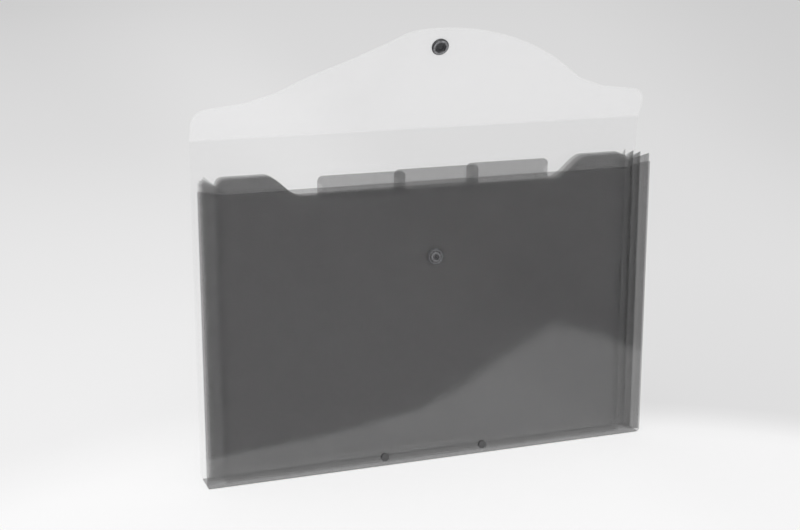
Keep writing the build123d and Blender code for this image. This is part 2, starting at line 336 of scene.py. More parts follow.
def make_moulded_finish():
    """A fine grain of moulded plastic, with paler worn patches."""
    group, start, end = new_group(
        "moulded_finish",
        [
            ("Colour", "NodeSocketColor", (0.05, 0.05, 0.05, 1)),
            ("Worn Colour", "NodeSocketColor", (0.1, 0.1, 0.1, 1)),
            ("Roughness", "NodeSocketFloat", 0.3),
            ("Grain Scale", "NodeSocketFloat", 900.0),
        ],
        FINISH_OUTPUTS,
    )
    nodes, links = group.nodes, group.links
    plus, minus, times = arithmetic(group)
    place = nodes.new("ShaderNodeTexCoord")
    grain = nodes.new("ShaderNodeTexNoise")
    grain.inputs["Detail"].default_value = 4
    links.new(place.outputs["Object"], grain.inputs["Vector"])
    links.new(start.outputs["Grain Scale"], grain.inputs["Scale"])
    worn = nodes.new("ShaderNodeMapRange")
    links.new(grain.outputs["Fac"], worn.inputs["Value"])
    worn.inputs["From Min"].default_value = 0.35
    worn.inputs["From Max"].default_value = 0.8
    tint = nodes.new("ShaderNodeMix")
    tint.data_type = "RGBA"
    links.new(worn.outputs["Result"], tint.inputs["Factor"])
    links.new(start.outputs["Colour"], tint.inputs["A"])
    links.new(start.outputs["Worn Colour"], tint.inputs["B"])
    links.new(tint.outputs["Result"], end.inputs["Colour"])
    rub = times(minus(grain.outputs["Fac"], 0.5), 0.2)
    links.new(plus(start.outputs["Roughness"], rub), end.inputs["Roughness"])
    bump = nodes.new("ShaderNodeBump")
    bump.inputs["Distance"].default_value = 0.00005
    bump.inputs["Strength"].default_value = 0.5
    links.new(grain.outputs["Fac"], bump.inputs["Height"])
    links.new(bump.outputs["Normal"], end.inputs["Normal"])
    return group


SHEET_FINISH = make_sheet_finish()
FOLD_DENSITY = make_fold_density()
MOULDED_FINISH = make_moulded_finish()
WORN_GAIN = 2.2


def finished_material(name, group, values):
    """A material that wears one of the finish groups; values are what goes into the group."""
    material = bpy.data.materials.new(name)
    material.use_nodes = True
    tree = material.node_tree
    shader = tree.nodes["Principled BSDF"]
    finish = tree.nodes.new("ShaderNodeGroup")
    finish.node_tree = group
    for label, value in values.items():
        finish.inputs[label].default_value = value
    for output, socket in (("Colour", "Base Color"), ("Roughness", "Roughness"), ("Normal", "Normal")):
        tree.links.new(finish.outputs[output], shader.inputs[socket])
    return material


def sheet_material(name, colour, haze_colour, alpha, roughness, ior=1.5, haze=0.2):
    """A see-through plastic sheet; alpha is what one of its two faces hides."""
    values = {
        "Colour": (*colour, 1), "Haze Colour": (*haze_colour, 1), "Haze": haze, "Roughness": roughness,
    }
    material = finished_material(name, SHEET_FINISH, values)
    shader = material.node_tree.nodes["Principled BSDF"]
    shader.inputs["Alpha"].default_value = alpha
    shader.inputs["IOR"].default_value = ior
    return material


FOLD_COLOUR = (0.03, 0.03, 0.031)
FOLD_HAZE = (0.1, 0.1, 0.1)
FOLD_ROUGHNESS = 0.12
CUT_COLOUR = (0.9, 0.9, 0.91)
CUT_HAZE = (0.95, 0.95, 0.95)


def fold_material(name, alpha, gain=0.0, outer=0.171):
    """The smoke film of the gussets; gain is what its outer folds hide beyond alpha."""
    material = sheet_material(name, FOLD_COLOUR, FOLD_HAZE, alpha, FOLD_ROUGHNESS)
    if gain:
        density = material.node_tree.nodes.new("ShaderNodeGroup")
        density.node_tree = FOLD_DENSITY
        for label, value in (("Alpha", alpha), ("Gain", gain), ("Outer", outer)):
            density.inputs[label].default_value = value
        shader = material.node_tree.nodes["Principled BSDF"]
        material.node_tree.links.new(density.outputs["Alpha"], shader.inputs["Alpha"])
    return material


def moulded_material(name, colour, roughness):
    """Dark moulded plastic with a fine grain and paler worn patches."""
    worn = [WORN_GAIN * c for c in colour]
    values = {"Colour": (*colour, 1), "Worn Colour": (*worn, 1), "Roughness": roughness}
    return finished_material(name, MOULDED_FINISH, values)


SMOKE = sheet_material("smoke_film", (0.022, 0.022, 0.023), (0.08, 0.08, 0.08), 0.255, 0.1, ior=2.3)
INNER = sheet_material("divider_film", (0.026, 0.026, 0.027), (0.09, 0.09, 0.09), 0.245, 0.12)
FOOT = sheet_material("foot_film", (0.03, 0.03, 0.031), (0.08, 0.08, 0.08), 0.36, 0.3, ior=1.4)
FOLD_LEFT = fold_material("fold_film_left", 0.115)
FOLD_RIGHT = fold_material("fold_film_right", 0.14, 0.12)
FOLD_FIRST = fold_material("fold_film_first", 0.11, 0.27, 0.172)
SEAM = sheet_material("welded_seam", FOLD_COLOUR, FOLD_HAZE, 0.02, FOLD_ROUGHNESS, ior=1.3)
SMOKE_EDGE = sheet_material("smoke_cut_edge", (0.1, 0.1, 0.1), (0.2, 0.2, 0.2), 0.5, 0.3, haze=0.3)
SLEEVE = sheet_material("sleeve_film", (0.06, 0.06, 0.06), (0.25, 0.25, 0.25), 0.09, 0.08, ior=2.1)
CLEAR = sheet_material("clear_film", (0.55, 0.55, 0.56), (0.7, 0.7, 0.7), 0.055, 0.1, haze=0.5)
# The clear film of the flap leaf, paler and denser than that of the spine and back: a painted reflection
LEAF_SHEEN_FILM = sheet_material("leaf_painted_sheen", (0.93, 0.93, 0.94), (0.97, 0.97, 0.97), 0.14, 0.16, haze=0.5)
CLEAR_EDGE = sheet_material("clear_cut_edge", CUT_COLOUR, CUT_HAZE, 0.14, 0.25, haze=0.5)
WEB = sheet_material("crease_web", CUT_COLOUR, CUT_HAZE, 0.025, 0.2, ior=1.4, haze=0.5)
STUD_PLASTIC = moulded_material("stud_plastic", (0.028, 0.028, 0.03), 0.28)
# Glossier plastic of a paler colour on the rings of the stud and socket: a painted highlight
RING_HIGHLIGHT = moulded_material("painted_ring_highlight", (0.13, 0.13, 0.135), 0.2)
RIVET_PLASTIC = moulded_material("rivet_plastic", (0.042, 0.042, 0.043), 0.4)


# Where the sheets stand


def standing(index):
    """Foot, upward and outward directions of a standing sheet; outward is towards the front."""
    lean = math.atan2(TOP_Y[index] - BASE_Y[index], HINGE_Z)
    up = Vector((0, math.sin(lean), math.cos(lean)))
    out = Vector((0, -math.cos(lean), math.sin(lean)))
    return Vector((0, BASE_Y[index], 0)), up, out


def leaning(start, lean):
    """The same for a flap sheet that starts at a crease and leans forward."""
    up = Vector((0, -math.sin(lean), math.cos(lean)))
    out = Vector((0, -math.cos(lean), -math.sin(lean)))
    return start, up, out


# Outlines, as points (x, height) that run round the sheet

def arc(centre, radius, start, end, steps=5):
    """Points on an arc, angles in degrees."""
    points = []
    for i in range(steps + 1):
        a = math.radians(start + (end - start) * i / steps)
        points.append((centre[0] + radius * math.cos(a), centre[1] + radius * math.sin(a)))
    return points


def rounded(points, radii, steps=6):
    """A closed outline with its corners rounded by the radii given."""
    result = []
    count = len(points)
    for i, (point, radius) in enumerate(zip(points, radii)):
        here = Vector(point)
        if radius == 0:
            result.append(tuple(here))
            continue
        before = (Vector(points[i - 1]) - here).normalized()
        after = (Vector(points[(i + 1) % count]) - here).normalized()
        half = before.angle(after) / 2
        reach = radius / math.tan(half)
        centre = here + (before + after).normalized() * radius / math.sin(half)
        a = here + before * reach - centre
        turn = (here + after * reach - centre).to_2d().angle_signed(a.to_2d())
        for k in range(steps + 1):
            t = turn * k / steps
            result.append((
                centre.x + a.x * math.cos(t) - a.y * math.sin(t),
                centre.y + a.x * math.sin(t) + a.y * math.cos(t),
            ))
    return result


def ease(start, end, steps=12):
    """Points of a smooth S between two levels."""
    points = []
    for i in range(steps + 1):
        t = i / steps
        s = t * t * (3 - 2 * t)
        points.append((start[0] + (end[0] - start[0]) * t, start[1] + (end[1] - start[1]) * s))
    return points


def both_sides(right):
    """Completes an outline from its right half, which runs from the foot to the middle of the top."""
    return right + [(-x, h) for x, h in right[::-1] if x > 0]


def front_outline():
    edge = COVER_W / 2
    right = arc((edge - COVER_CORNER, COVER_LIFT + COVER_CORNER), COVER_CORNER, -90, 0)
    right += [(edge, FRONT_H)]
    right += ease((edge - SCOOP_START, FRONT_H), (edge - SCOOP_RUN, FRONT_H - FRONT_SCOOP))
    return both_sides(right)


def tab_sides(index):
    """How far left and right a tab reaches."""
    return TAB_X[index] - TAB_W / 2, TAB_X[index] + TAB_W / 2


def tab_top(index):
    """The rounded top of a tab, from right to left."""
    left, right = tab_sides(index)
    height = TAB_TOP - TAB_R
    return arc((right - TAB_R, height), TAB_R, 0, 90) + arc((left + TAB_R, height), TAB_R, 90, 180)


def divider_outline(index):
    edge = DIVIDER_W / 2
    right = [(edge, DIVIDER_FOOT[index])]
    right += arc((edge - CORNER_R, SHOULDER_Z - CORNER_R), CORNER_R, 0, 90, steps=6)
    right += ease((SHOULDER_OUT, SHOULDER_Z), (SHOULDER_IN, LOW_Z))
    left = [(-x, h) for x, h in right[::-1]]
    tab_left, tab_right = tab_sides(index)
    return right + [(tab_right, LOW_Z)] + tab_top(index) + [(tab_left, LOW_Z)] + left


def sleeve_outline(index):
    left, right = tab_sides(index)
    low = TAB_TOP - SLEEVE_H
    notch = low + NOTCH_RISE
    points = arc((right - TAB_R, low + TAB_R), TAB_R, -90, 0)
    points += arc((right, notch), NOTCH_R, -90, -270, steps=12)
    points += tab_top(index)
    points += arc((left, notch), NOTCH_R, 90, -90, steps=12)
    points += arc((left + TAB_R, low + TAB_R), TAB_R, 180, 270)
    return points


def leaf_outline():
    rise = SIDE_H + SHOULDER_RISE
    drop = LEAF_TOP - rise
    nose_r = (SHOULDER_X ** 2 + drop ** 2) / (2 * drop)
    sweep = math.degrees(math.asin(SHOULDER_X / nose_r))
    nose = arc((0, LEAF_TOP - nose_r), nose_r, 90 - sweep, 90 + sweep, steps=48)
    edge = COVER_W / 2
    start = CREASE_GAP / 2
    points = [(edge, start), (edge, SIDE_H)] + nose + [(-edge, SIDE_H), (-edge, start)]
    radii = [0, LEAF_CORNER] + [0] * len(nose) + [LEAF_CORNER, 0]
    points = rounded(points, radii)
    return soften(points, (SHOULDER_X, rise), SHOULDER_R)


def soften(points, corner, reach):
    """Eases the outline near the two inner corners of the flap's shoulders."""
    result = [Vector(p) for p in points]
    for _ in range(12):
        moved = []
        for i, p in enumerate(result):
            gap = math.hypot(abs(p.x) - corner[0], p.y - corner[1])
            pull = 0.5 * max(0.0, 1 - gap / reach)
            mean = (result[i - 1] + result[(i + 1) % len(result)]) / 2
            moved.append(p.lerp(mean, pull))
        result = moved
    return [tuple(p) for p in result]


# Meshes of the sheets

def inside(point, outline):
    """Whether a point lies inside an outline."""
    x, y = point
    result = False
    for i in range(len(outline)):
        x1, y1 = outline[i - 1]
        x2, y2 = outline[i]
        if (y1 > y) != (y2 > y) and x < x1 + (y - y1) * (x2 - x1) / (y2 - y1):
            result = not result
    return result


def near_edge(point, outline, reach):
    """Whether a point lies within reach of an outline."""
    p = Vector(point)
    for i in range(len(outline)):
        a, b = Vector(outline[i - 1]), Vector(outline[i])
        run = b - a
        t = max(0.0, min(1.0, (p - a).dot(run) / max(run.length_squared, 1e-12)))
        if (a + run * t - p).length < reach:
            return True
    return False


def flat_mesh(outline, cell, lines=()):
    """Points and triangles that fill an outline, with points every cell inside it.

    Straight edges run across it at the heights in lines.
    """
    xs = [p[0] for p in outline]
    ys = [p[1] for p in outline]
    points = [Vector(p) for p in outline]
    columns = max(1, round((max(xs) - min(xs)) / cell))
    rows = max(1, round((max(ys) - min(ys)) / cell))
    for j in range(1, rows):
        for i in range(1, columns):
            p = (
                min(xs) + (max(xs) - min(xs)) * i / columns,
                min(ys) + (max(ys) - min(ys)) * j / rows,
            )
            if inside(p, outline) and not near_edge(p, outline, cell * 0.4):
                points.append(Vector(p))
    edges = []
    for height in lines:
        first = len(points)
        for i in range(columns + 1):
            points.append(Vector((min(xs) + (max(xs) - min(xs)) * i / columns, height)))
        edges += [(first + i, first + i + 1) for i in range(columns)]
    rim = list(range(len(outline)))
    made = delaunay_2d_cdt(points, edges, [rim], 1, 1e-7)
    return [tuple(p) for p in made[0]], [tuple(f) for f in made[2]]


def placed(name, data):
    """A new object of some data, put into the scene."""
    made = bpy.data.objects.new(name, data)
    bpy.context.collection.objects.link(made)
    return made


def face_outwards(mesh, data):
    """Turns a mesh's faces outwards and hands it over to its data."""
    bmesh.ops.recalc_face_normals(mesh, faces=mesh.faces)
    mesh.to_mesh(data)
    mesh.free()


def smooth(data, angle):
    """Smooth faces, but sharp edges where they meet at more than an angle."""
    for polygon in data.polygons:
        polygon.use_smooth = True
    data.set_sharp_from_angle(angle=angle)


def two_sided(name, points, faces, place, half, materials, creases=()):
    """A closed sheet: both faces of place(point), and a wall along every open edge.

    Walls have the second material, but for those at the heights in creases.
    """
    mesh = bmesh.new()
    sides = []
    for way in (1, -1):
        sides.append([mesh.verts.new(place(p, way * half)) for p in points])
    edges = {}
    for face in faces:
        mesh.faces.new([sides[0][i] for i in face])
        mesh.faces.new([sides[1][i] for i in face[::-1]])
        for i, j in zip(face, face[1:] + face[:1]):
            edges[(i, j)] = edges.get((i, j), 0) + 1
    for i, j in edges:
        if (j, i) not in edges:
            wall = mesh.faces.new((sides[0][j], sides[0][i], sides[1][i], sides[1][j]))
            at_crease = any(max(abs(points[k][1] - h) for k in (i, j)) < SAME_PLACE for h in creases)
            wall.material_index = 0 if at_crease else 1
    data = bpy.data.meshes.new(name)
    face_outwards(mesh, data)
    for material in materials:
        data.materials.append(material)
    smooth(data, BEVEL_ANGLE)
    return placed(name, data)


def cut_sheet(name, outline, where, half, materials, cell=CELL, wave=None, lift=0.0, creases=()):
    """A sheet cut to an outline that stands at where, with a slight wave off its plane.

    It thins from both faces towards the heights in creases, where it ends.
    """
    start, up, out = where
    middle = sum(h for _, h in outline) / len(outline)
    lines = [h + math.copysign(CREASE_BEVEL, middle - h) for h in creases]
    points, faces = flat_mesh(outline, cell, lines)

    def place(point, side):
        x, h = point
        for end in creases:
            room = CREASE_WEB / 2 + (half - CREASE_WEB / 2) * abs(h - end) / CREASE_BEVEL
            side = math.copysign(min(abs(side), room), side)
        off = side + lift + (wave(x, h) if wave else 0.0)
        return start + Vector((x, 0, 0)) + up * h + out * off

    return two_sided(name, points, faces, place, half, materials, creases)


def slow_wave(height, seed, top):
    """A gentle wave of a sheet, nothing at its foot and at its sides."""
    def wave(x, h):
        across = math.sin(x * 17 + seed) + 0.6 * math.sin(x * 31 + h * 9 + 2 * seed)
        fade = min(1.0, h / WAVE_RISE) * min(1.0, max(0.0, (WAVE_SIDE - abs(x)) / WAVE_FADE))
        return height * across * fade * (0.4 + 0.6 * h / top)
    return wave


# Node trees for the pieces whose shape follows a rule

def add_node(tree, kind, **links):
    """A node; each named input is a number or a socket."""
    node = tree.nodes.new(kind)
    for label, value in links.items():
        socket = node.inputs[label.replace("_", " ")]
        if isinstance(value, bpy.types.NodeSocket):
            tree.links.new(value, socket)
        else:
            socket.default_value = value
    return node


def rule(tree, value, points):
    """A value that runs straight from point to point; points are (where, value), both 0 to 1."""
    node = tree.nodes.new("ShaderNodeFloatCurve")
    curve = node.mapping.curves[0]
    curve.points[0].location = points[0]
    curve.points[1].location = points[-1]
    for point in points[1:-1]:
        curve.points.new(*point)
    for point in curve.points:
        point.handle_type = "VECTOR"
    node.mapping.update()
    tree.links.new(value, node.inputs["Value"])
    return node.outputs["Value"]


def new_tree(name, inputs):
    """An empty geometry tree; inputs are (name, socket type)."""
    tree = bpy.data.node_groups.new(name, "GeometryNodeTree")
    for label, kind in inputs:
        tree.interface.new_socket(name=label, in_out="INPUT", socket_type=kind)
    tree.interface.new_socket(name="Geometry", in_out="OUTPUT", socket_type="NodeSocketGeometry")
    start = tree.nodes.new("NodeGroupInput")
    end = tree.nodes.new("NodeGroupOutput")
    return tree, start.outputs, end.inputs["Geometry"]


def grown(name, tree, values, thickness=0.0):
    """A plain mesh piece from a tree and its values, with walls of a thickness where one is given."""
    holder = placed(name + "_maker", bpy.data.meshes.new(name + "_maker"))
    maker = holder.modifiers.new("maker", "NODES")
    maker.node_group = tree
    for item in tree.interface.items_tree:
        if item.in_out == "INPUT":
            maker[item.identifier] = values[item.name]
    if thickness:
        walls = holder.modifiers.new("walls", "SOLIDIFY")
        walls.thickness = thickness
        walls.offset = 0
        walls.use_even_offset = True
    ready = holder.evaluated_get(bpy.context.evaluated_depsgraph_get())
    data = bpy.data.meshes.new_from_object(ready)
    data.name = name
    bpy.data.objects.remove(holder)
    mesh = bmesh.new()
    mesh.from_mesh(data)
    bmesh.ops.remove_doubles(mesh, verts=mesh.verts, dist=SAME_PLACE)
    face_outwards(mesh, data)
    return placed(name, data)


TURNED_INPUTS = (
    ("Radius", "NodeSocketFloat"), ("Low", "NodeSocketFloat"), ("High", "NodeSocketFloat"),
    ("Pitch", "NodeSocketFloat"), ("Count", "NodeSocketInt"), ("Finish", "NodeSocketMaterial"),
)


def dress(tree, shape, finish, result):
    """The last nodes of a tree: real geometry, with its material."""
    solid = add_node(tree, "GeometryNodeRealizeInstances", Geometry=shape)
    dressed = add_node(tree, "GeometryNodeSetMaterial", Geometry=solid.outputs["Geometry"], Material=finish)
    tree.links.new(dressed.outputs["Geometry"], result)


def turned_tree(name, profile):
    """A row of turned pieces; the profile's points are shares of the radius and of low to high."""
    tree, values, result = new_tree(name, TURNED_INPUTS)
    plus, minus, times = arithmetic(tree)
    steps = len(profile) - 1
    tube = tree.nodes.new("GeometryNodeMeshCylinder")
    tube.fill_type = "NONE"
    for label, value in (
        ("Vertices", TURNED_SIDES), ("Side Segments", steps), ("Radius", 1.0), ("Depth", 1.0),
    ):
        tube.inputs[label].default_value = value
    place = tree.nodes.new("GeometryNodeInputPosition")
    apart = add_node(tree, "ShaderNodeSeparateXYZ", Vector=place.outputs["Position"])
    along = plus(apart.outputs["Z"], 0.5)
    widths = rule(tree, along, [(i / steps, r) for i, (r, _) in enumerate(profile)])
    heights = rule(tree, along, [(i / steps, h) for i, (_, h) in enumerate(profile)])
    reach = times(widths, values["Radius"])
    span = minus(values["High"], values["Low"])
    spot = add_node(
        tree, "ShaderNodeCombineXYZ", X=times(apart.outputs["X"], reach), Y=times(apart.outputs["Y"], reach),
        Z=plus(times(heights, span), values["Low"]),
    )
    shaped = add_node(
        tree, "GeometryNodeSetPosition", Geometry=tube.outputs["Mesh"], Position=spot.outputs["Vector"]
    )
    first_x = times(times(values["Pitch"], -0.5), minus(values["Count"], 1.0))
    start = add_node(tree, "ShaderNodeCombineXYZ", X=first_x)
    step = add_node(tree, "ShaderNodeCombineXYZ", X=values["Pitch"])
    row = add_node(
        tree, "GeometryNodeMeshLine", Count=values["Count"], Start_Location=start.outputs["Vector"],
        Offset=step.outputs["Vector"],
    )
    copies = add_node(
        tree, "GeometryNodeInstanceOnPoints", Points=row.outputs["Mesh"], Instance=shaped.outputs["Geometry"]
    )
    dress(tree, copies.outputs["Instances"], values["Finish"], result)
    return tree


def turned(name, profile, at, finish, pitch=0.0, count=1):
    """Turned pieces in a row; profile is (radius, height) in metres, at is a point and its way out."""
    point, out = at
    radius = max(r for r, _ in profile)
    low, high = min(h for _, h in profile), max(h for _, h in profile)
    shares = [(r / radius, (h - low) / (high - low)) for r, h in profile]
    values = {
        "Radius": radius, "Low": low, "High": high, "Pitch": pitch, "Count": count, "Finish": finish,
    }
    piece = grown(name, turned_tree(name + "_tree", shares), values)
    up = out.cross(Vector((1, 0, 0)))
    for vertex in piece.data.vertices:
        x, y, z = vertex.co
        vertex.co = point + Vector((x, 0, 0)) + up * y + out * z
    mesh = bmesh.new()
    mesh.from_mesh(piece.data)
    face_outwards(mesh, piece.data)
    smooth(piece.data, EDGE_ANGLE)
    return piece


def paint_ring_highlight(piece, at, size, bands):
    """Gives the rings of a turned piece a glossier face with a paler colour, a painted highlight; bands are
    shares of its radius, size.
    """
    point, out = at
    piece.data.materials.append(RING_HIGHLIGHT)
    for polygon in piece.data.polygons:
        away = polygon.center - point
        height = away.dot(out)
        radius = (away - out * height).length
        if height > 0 and any(size * low < radius < size * high for low, high in bands):
            polygon.material_index = len(piece.data.materials) - 1


PLEAT_INPUTS = tuple((label, "NodeSocketFloat") for label in (
    "Side", "Inner", "Outer", "Weld", "Foot", "Tooth", "Drop",
    "Near", "Near Slope", "Far", "Far Slope",
)) + (("Finish", "NodeSocketMaterial"),)


def pleat_tree(name, line):
    """A folded strip between two sheets; line is its plan as shares (of the width, of the depth)."""
    tree, values, result = new_tree(name, PLEAT_INPUTS)
    plus, minus, times = arithmetic(tree)
    stops = []
    at = 0
    for i, (x, way) in enumerate(line):
        stops.append((at, x, way))
        if i + 1 < len(line):
            at += PANEL_STEPS if abs(line[i + 1][0] - x) > 0.5 else 1
    sheet = tree.nodes.new("GeometryNodeMeshGrid")
    for label, value in (
        ("Size X", 1.0), ("Size Y", 1.0), ("Vertices X", at + 1), ("Vertices Y", PLEAT_ROWS + 1),
    ):
        sheet.inputs[label].default_value = value
    place = tree.nodes.new("GeometryNodeInputPosition")
    apart = add_node(tree, "ShaderNodeSeparateXYZ", Vector=place.outputs["Position"])
    along = plus(apart.outputs["X"], 0.5)
    rise = plus(apart.outputs["Y"], 0.5)
    across = rule(tree, along, [(n / at, x) for n, x, _ in stops])
    way = rule(tree, along, [(n / at, w) for n, _, w in stops])

    folds = minus(values["Outer"], values["Inner"])
    x = plus(minus(values["Inner"], values["Weld"]), times(across, plus(folds, values["Weld"])))
    folded = maths(tree, "DIVIDE", minus(x, values["Inner"]), folds)
    short = minus(1.0, maths(tree, "MAXIMUM", folded, 0.0))
    top = minus(values["Tooth"], times(values["Drop"], short))
    z = plus(times(rise, minus(top, values["Foot"])), values["Foot"])
    near = plus(values["Near"], times(values["Near Slope"], z))
    far = plus(values["Far"], times(values["Far Slope"], z))
    y = plus(near, times(way, minus(far, near)))
    spot = add_node(tree, "ShaderNodeCombineXYZ", X=times(x, values["Side"]), Y=y, Z=z)
    moved = add_node(
        tree, "GeometryNodeSetPosition", Geometry=sheet.outputs["Mesh"], Position=spot.outputs["Vector"]
    )
    dress(tree, moved.outputs["Geometry"], values["Finish"], result)
    return tree


def finish_piece(piece, body, slot, *nodes):
    """Says what a piece rides on and which solids it stands for, which it hides; slot, what it is made of,
    is not used.
    """
    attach(piece, body)
    if nodes:
        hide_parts(*nodes)
    return piece


SMOKE_SET = (SMOKE, SMOKE_EDGE)
INNER_SET = (INNER, SMOKE_EDGE)
CLEAR_SET = (CLEAR, CLEAR_EDGE)
LEAF_SHEEN_SET = (LEAF_SHEEN_FILM, CLEAR_EDGE)
SLEEVE_SET = (SLEEVE, SMOKE_EDGE)

front = cut_sheet("front_sheet", front_outline(), standing(0), SHEET_T[0] / 2, SMOKE_SET)
finish_piece(front, "front", "smoke_sheet", "front_panel")

back_rise = math.hypot(HINGE_Z, TOP_Y[POCKETS] - BASE_Y[POCKETS]) - CREASE_GAP / 2
half_w = COVER_W / 2
back_outline = rounded(
    [(-half_w, COVER_LIFT), (half_w, COVER_LIFT), (half_w, back_rise), (-half_w, back_rise)],
    [COVER_CORNER, COVER_CORNER, 0, 0],
)
back_place = standing(POCKETS)
back = cut_sheet("back_sheet", back_outline, back_place, COVER_T / 2, CLEAR_SET, creases=(back_rise,))
finish_piece(back, "back", "clear_sheet", "back_panel")

hinge = Vector((0, TOP_Y[POCKETS], HINGE_Z))
spine_place = leaning(hinge, SPINE_LEAN)
fold = hinge + spine_place[1] * SPINE_LEN
spine_ends = spine_foot, spine_top = CREASE_GAP / 2, SPINE_LEN - CREASE_GAP / 2
spine_outline = [
    (-half_w, spine_foot), (half_w, spine_foot), (half_w, spine_top), (-half_w, spine_top),
]
spine = cut_sheet("spine_sheet", spine_outline, spine_place, COVER_T / 2, CLEAR_SET, creases=spine_ends)
finish_piece(spine, "flap_spine", "clear_sheet", "flap_spine")

leaf_place = leaning(fold, LEAF_LEAN)


def leaf_bow(x, h):
    """A loose bow of the flap's left half towards the front, nothing at its crease and stud."""
    rise = min(1.0, h / BOW_REACH)
    aside = min(1.0, max(0.0, (-x - BOW_START) / BOW_RUN))
    share = rise * rise * (3 - 2 * rise) * aside * aside * (3 - 2 * aside)
    return BOW * share * math.exp(-((x - BOW_X) / BOW_WIDTH) ** 2)


leaf = cut_sheet(
    "flap_sheet", leaf_outline(), leaf_place, COVER_T / 2, LEAF_SHEEN_SET, FINE_CELL, leaf_bow,
    creases=(CREASE_GAP / 2,),
)
finish_piece(leaf, "flap_leaf", "clear_sheet", "flap_leaf")
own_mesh(leaf)

for index in range(len(TAB_X)):
    place = standing(index + 1)
    wave = slow_wave(DIVIDER_WAVE, 1.7 * index + 0.4, SHOULDER_Z)
    divider = cut_sheet(
        f"divider_sheet_{index + 1}", divider_outline(index), place, SHEET_T[1] / 2, INNER_SET, CELL, wave
    )
    body = BODY_OF_SHEET[index + 1]
    finish_piece(divider, body, "smoke_sheet", f"divider_{index + 1}")
    lift = SHEET_T[1] / 2 + SLEEVE_GAP + SLEEVE_T / 2
    sleeve = cut_sheet(
        f"label_sleeve_{index + 1}", sleeve_outline(index), place, SLEEVE_T / 2, SLEEVE_SET, FINE_CELL,
        wave, lift,
    )
    finish_piece(sleeve, body, "sleeve_sheet", f"tab_sleeve_{index + 1}")


# Gussets: folded strips, each spanning the two sheets that it joins

def fold_plan(index):
    """Plan of a gusset strip, as shares of its width and of its pocket's depth."""
    outer = COVER_W / 2 - FOLD_INSET - FOLD_STEP * index
    inner = DIVIDER_W / 2
    depth = (BASE_Y[index + 1] - BASE_Y[index] + TOP_Y[index + 1] - TOP_Y[index]) / 2
    blunt = FOLD_BLUNT / depth
    width = outer - inner + WELD_W
    at_inner, at_weld = WELD_W / width, (outer - inner) / width
    if index == 0:
        return [(at_weld, 0), (1, 0), (1, blunt), (at_inner, 1), (0, 1)]
    if index == POCKETS - 1:
        return [(0, 0), (at_inner, 0), (1, 1 - blunt), (1, 1), (at_weld, 1)]
    return [(0, 0), (at_inner, 0), (1, 0.5 - blunt / 2), (1, 0.5 + blunt / 2), (at_inner, 1), (0, 1)]


def gusset(index, side):
    """One strip, from the sheet before its pocket to the sheet behind it."""
    label = ("right" if side > 0 else "left") + f"_{index + 1}"
    off = WELD_GAP + GUSSET_T / 2
    values = {
        "Side": float(side), "Inner": DIVIDER_W / 2, "Outer": COVER_W / 2 - FOLD_INSET - FOLD_STEP * index,
        "Weld": WELD_W, "Foot": GUSSET_LOW, "Tooth": TOOTH_Z, "Drop": TOOTH_DROP,
        "Near": BASE_Y[index] + SHEET_T[index] / 2 + off,
        "Near Slope": (TOP_Y[index] - BASE_Y[index]) / HINGE_Z,
        "Far": BASE_Y[index + 1] - SHEET_T[index + 1] / 2 - off,
        "Far Slope": (TOP_Y[index + 1] - BASE_Y[index + 1]) / HINGE_Z,
        "Finish": FOLD_LEFT if side < 0 else FOLD_FIRST if index == 0 else FOLD_RIGHT,
    }
    tree = pleat_tree("pleat_" + label, fold_plan(index))
    strip = grown("gusset_fold_" + label, tree, values, GUSSET_T)
    strip.data.materials.append(SEAM)
    for polygon in strip.data.polygons:
        x, y, z = polygon.center
        inner_weld = abs(x) < values["Inner"]
        outer_weld = False
        if index in (0, POCKETS - 1) and abs(x) > values["Outer"] - WELD_W:
            edge = "Near" if index == 0 else "Far"
            outer_weld = abs(y - values[edge] - values[edge + " Slope"] * z) < GUSSET_T * 0.6
        if inner_weld or outer_weld:
            polygon.material_index = len(strip.data.materials) - 1
    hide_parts("gusset_" + label)
    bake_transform(strip)


for index in range(POCKETS):
    for side in (1, -1):
        gusset(index, side)


# Creases: the thin web that joins two sheets of the cover

def crease(name, point, before, after):
    """A web across a crease; before and after are the directions of the two sheets away from it."""
    xs = (-half_w, -half_w / 2, 0, half_w / 2, half_w)
    points = [(x, k) for x in xs for k in range(WEB_STEPS + 1)]
    at = {p: n for n, p in enumerate(points)}
    faces = []
    for x1, x2 in zip(xs, xs[1:]):
        for k in range(WEB_STEPS):
            faces.append((at[(x1, k)], at[(x2, k)], at[(x2, k + 1)], at[(x1, k + 1)]))
    a, b = point + before * WEB_REACH, point + after * WEB_REACH
    up = (b - a).normalized()
    out = Vector((0, -up.z, up.y))

    def place(p, side):
        x, k = p
        return Vector((x, 0, 0)) + a.lerp(b, k / WEB_STEPS) + out * side

    web = two_sided(name, points, faces, place, WEB_HALF, (WEB, WEB))
    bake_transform(web)
    return web


crease("hinge_crease", hinge, -back_place[1], spine_place[1])
crease("fold_crease", fold, -spine_place[1], leaf_place[1])


# Press stud and rivets, turned from their profiles

def sized(shares, radius, height):
    return [(radius * r, height * h) for r, h in shares]


foot, front_up, front_out = standing(0)
_, leaf_up, leaf_out = leaf_place
stud_at = foot + front_up * SNAP_Z + front_out * COVER_T / 2
stud_cap_at = foot + front_up * SNAP_Z - front_out * COVER_T / 2
socket_at = fold + leaf_up * SOCKET_REACH + leaf_out * COVER_T / 2
socket_cap_at = fold + leaf_up * SOCKET_REACH - leaf_out * COVER_T / 2
rivet_at = foot + front_up * RIVET_Z + front_out * COVER_T / 2
washer_at = rivet_at - front_out * (COVER_T + SHEET_GAP + HEM_T)

